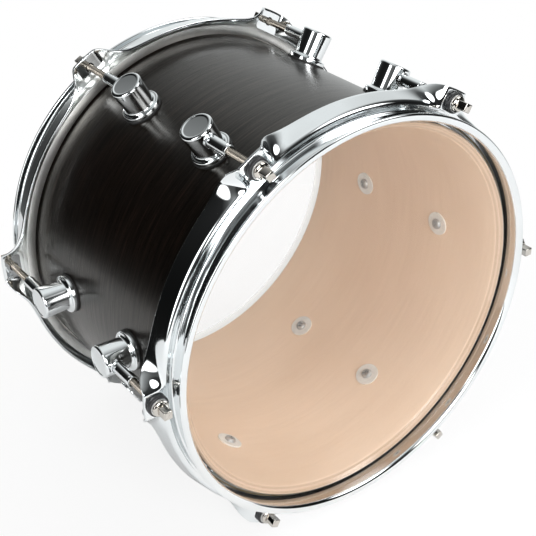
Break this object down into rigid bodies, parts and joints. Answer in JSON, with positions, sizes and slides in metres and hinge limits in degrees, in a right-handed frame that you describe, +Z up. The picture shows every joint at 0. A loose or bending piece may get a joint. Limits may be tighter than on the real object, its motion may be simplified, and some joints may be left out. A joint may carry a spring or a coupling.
{
  "type": "tom drum with clear head",
  "caption": "Small tom drum lying on its side: lacquered wood shell, chromed counter hoops, clear heads, round lugs and key tension rods that let the hoops and heads off.",
  "frame": {"origin": "on the floor under the middle of the drum, which lies on the skirts of its two counter hoops", "axes": "+Z up, -Y out of the batter head that faces the viewer, +Y out of the resonant head, X across the drum"},
  "size_m": [0.355, 0.2512, 0.3315],
  "materials": {
    "shell_wood": "dark ebony lacquer outside, pale bare wood inside",
    "chrome": "bright chrome plate on steel and die casting",
    "plated_rod": "plated steel with a warm tone on the thread",
    "zinc_steel": "zinc plated steel",
    "aluminium": "plain rolled aluminium channel",
    "clear_film": "clear polyester film",
    "resin": "cast resin",
    "black_nylon": "black nylon",
    "black_rubber": "black soft gasket"
  },
  "bodies": {
    "shell": {"shell": "shell_wood", "vent_eyelet": "chrome", "vent_ring": "zinc_steel", "batter_tube_nuts": "chrome", "batter_lug_gaskets": "black_rubber", "batter_lug_screws": "zinc_steel", "batter_lug_washers": "zinc_steel", "batter_lug_1": "chrome", "batter_lug_2": "chrome", "batter_lug_3": "chrome", "batter_lug_4": "chrome", "batter_lug_5": "chrome", "batter_lug_6": "chrome", "resonant_tube_nuts": "chrome", "resonant_lug_gaskets": "black_rubber", "resonant_lug_screws": "zinc_steel", "resonant_lug_washers": "zinc_steel", "resonant_lug_1": "chrome", "resonant_lug_2": "chrome", "resonant_lug_3": "chrome", "resonant_lug_4": "chrome", "resonant_lug_5": "chrome", "resonant_lug_6": "chrome"},
    "batter_hoop": {"batter_hoop": "chrome", "batter_rod_cushions": "black_nylon", "batter_rod_washers": "zinc_steel"},
    "batter_head": {"batter_film": "clear_film", "batter_channel": "aluminium", "batter_resin": "resin"},
    "batter_rod_1": {"batter_rod_1": "plated_rod"},
    "batter_rod_2": {"batter_rod_2": "plated_rod"},
    "batter_rod_3": {"batter_rod_3": "plated_rod"},
    "batter_rod_4": {"batter_rod_4": "plated_rod"},
    "batter_rod_5": {"batter_rod_5": "plated_rod"},
    "batter_rod_6": {"batter_rod_6": "plated_rod"},
    "resonant_hoop": {"resonant_hoop": "chrome", "resonant_rod_cushions": "black_nylon", "resonant_rod_washers": "zinc_steel"},
    "resonant_head": {"resonant_film": "clear_film", "resonant_channel": "aluminium", "resonant_resin": "resin"},
    "resonant_rod_1": {"resonant_rod_1": "plated_rod"},
    "resonant_rod_2": {"resonant_rod_2": "plated_rod"},
    "resonant_rod_3": {"resonant_rod_3": "plated_rod"},
    "resonant_rod_4": {"resonant_rod_4": "plated_rod"},
    "resonant_rod_5": {"resonant_rod_5": "plated_rod"},
    "resonant_rod_6": {"resonant_rod_6": "plated_rod"}
  },
  "joints": [
    {"name": "batter_hoop_slide", "type": "slide", "parent": "shell", "child": "batter_hoop", "axis": [0, -1, 0], "range_m": [0, 0.012]},
    {"name": "batter_head_slide", "type": "slide", "parent": "shell", "child": "batter_head", "axis": [0, -1, 0], "range_m": [0, 0.006]},
    {"name": "batter_rod_1_turn", "type": "hinge", "parent": "batter_hoop", "child": "batter_rod_1", "pos_m": [0.1684, -0.1156, 0.16577], "axis": [0, -1, 0], "range_deg": [0, 4090]},
    {"name": "batter_rod_2_turn", "type": "hinge", "parent": "batter_hoop", "child": "batter_rod_2", "pos_m": [0.0842, -0.1156, 0.3116], "axis": [0, -1, 0], "range_deg": [0, 4090]},
    {"name": "batter_rod_3_turn", "type": "hinge", "parent": "batter_hoop", "child": "batter_rod_3", "pos_m": [-0.0842, -0.1156, 0.3116], "axis": [0, -1, 0], "range_deg": [0, 4090]},
    {"name": "batter_rod_4_turn", "type": "hinge", "parent": "batter_hoop", "child": "batter_rod_4", "pos_m": [-0.1684, -0.1156, 0.16577], "axis": [0, -1, 0], "range_deg": [0, 4090]},
    {"name": "batter_rod_5_turn", "type": "hinge", "parent": "batter_hoop", "child": "batter_rod_5", "pos_m": [-0.0842, -0.1156, 0.01993], "axis": [0, -1, 0], "range_deg": [0, 4090]},
    {"name": "batter_rod_6_turn", "type": "hinge", "parent": "batter_hoop", "child": "batter_rod_6", "pos_m": [0.0842, -0.1156, 0.01993], "axis": [0, -1, 0], "range_deg": [0, 4090]},
    {"name": "resonant_hoop_slide", "type": "slide", "parent": "shell", "child": "resonant_hoop", "axis": [0, 1, 0], "range_m": [0, 0.012]},
    {"name": "resonant_head_slide", "type": "slide", "parent": "shell", "child": "resonant_head", "axis": [0, 1, 0], "range_m": [0, 0.006]},
    {"name": "resonant_rod_1_turn", "type": "hinge", "parent": "resonant_hoop", "child": "resonant_rod_1", "pos_m": [0.1684, 0.1156, 0.16577], "axis": [0, 1, 0], "range_deg": [0, 4090]},
    {"name": "resonant_rod_2_turn", "type": "hinge", "parent": "resonant_hoop", "child": "resonant_rod_2", "pos_m": [0.0842, 0.1156, 0.01993], "axis": [0, 1, 0], "range_deg": [0, 4090]},
    {"name": "resonant_rod_3_turn", "type": "hinge", "parent": "resonant_hoop", "child": "resonant_rod_3", "pos_m": [-0.0842, 0.1156, 0.01993], "axis": [0, 1, 0], "range_deg": [0, 4090]},
    {"name": "resonant_rod_4_turn", "type": "hinge", "parent": "resonant_hoop", "child": "resonant_rod_4", "pos_m": [-0.1684, 0.1156, 0.16577], "axis": [0, 1, 0], "range_deg": [0, 4090]},
    {"name": "resonant_rod_5_turn", "type": "hinge", "parent": "resonant_hoop", "child": "resonant_rod_5", "pos_m": [-0.0842, 0.1156, 0.3116], "axis": [0, 1, 0], "range_deg": [0, 4090]},
    {"name": "resonant_rod_6_turn", "type": "hinge", "parent": "resonant_hoop", "child": "resonant_rod_6", "pos_m": [0.0842, 0.1156, 0.3116], "axis": [0, 1, 0], "range_deg": [0, 4090]}
  ],
  "couplings": [
    {"joint": "batter_head_slide", "follows": "batter_hoop_slide", "ratio": 0.5},
    {"joint": "batter_rod_1_turn", "follows": "batter_hoop_slide", "rad_per_m": 5936.9},
    {"joint": "batter_rod_2_turn", "follows": "batter_hoop_slide", "rad_per_m": 5936.9},
    {"joint": "batter_rod_3_turn", "follows": "batter_hoop_slide", "rad_per_m": 5936.9},
    {"joint": "batter_rod_4_turn", "follows": "batter_hoop_slide", "rad_per_m": 5936.9},
    {"joint": "batter_rod_5_turn", "follows": "batter_hoop_slide", "rad_per_m": 5936.9},
    {"joint": "batter_rod_6_turn", "follows": "batter_hoop_slide", "rad_per_m": 5936.9},
    {"joint": "resonant_head_slide", "follows": "resonant_hoop_slide", "ratio": 0.5},
    {"joint": "resonant_rod_1_turn", "follows": "resonant_hoop_slide", "rad_per_m": 5936.9},
    {"joint": "resonant_rod_2_turn", "follows": "resonant_hoop_slide", "rad_per_m": 5936.9},
    {"joint": "resonant_rod_3_turn", "follows": "resonant_hoop_slide", "rad_per_m": 5936.9},
    {"joint": "resonant_rod_4_turn", "follows": "resonant_hoop_slide", "rad_per_m": 5936.9},
    {"joint": "resonant_rod_5_turn", "follows": "resonant_hoop_slide", "rad_per_m": 5936.9},
    {"joint": "resonant_rod_6_turn", "follows": "resonant_hoop_slide", "rad_per_m": 5936.9}
  ]
}
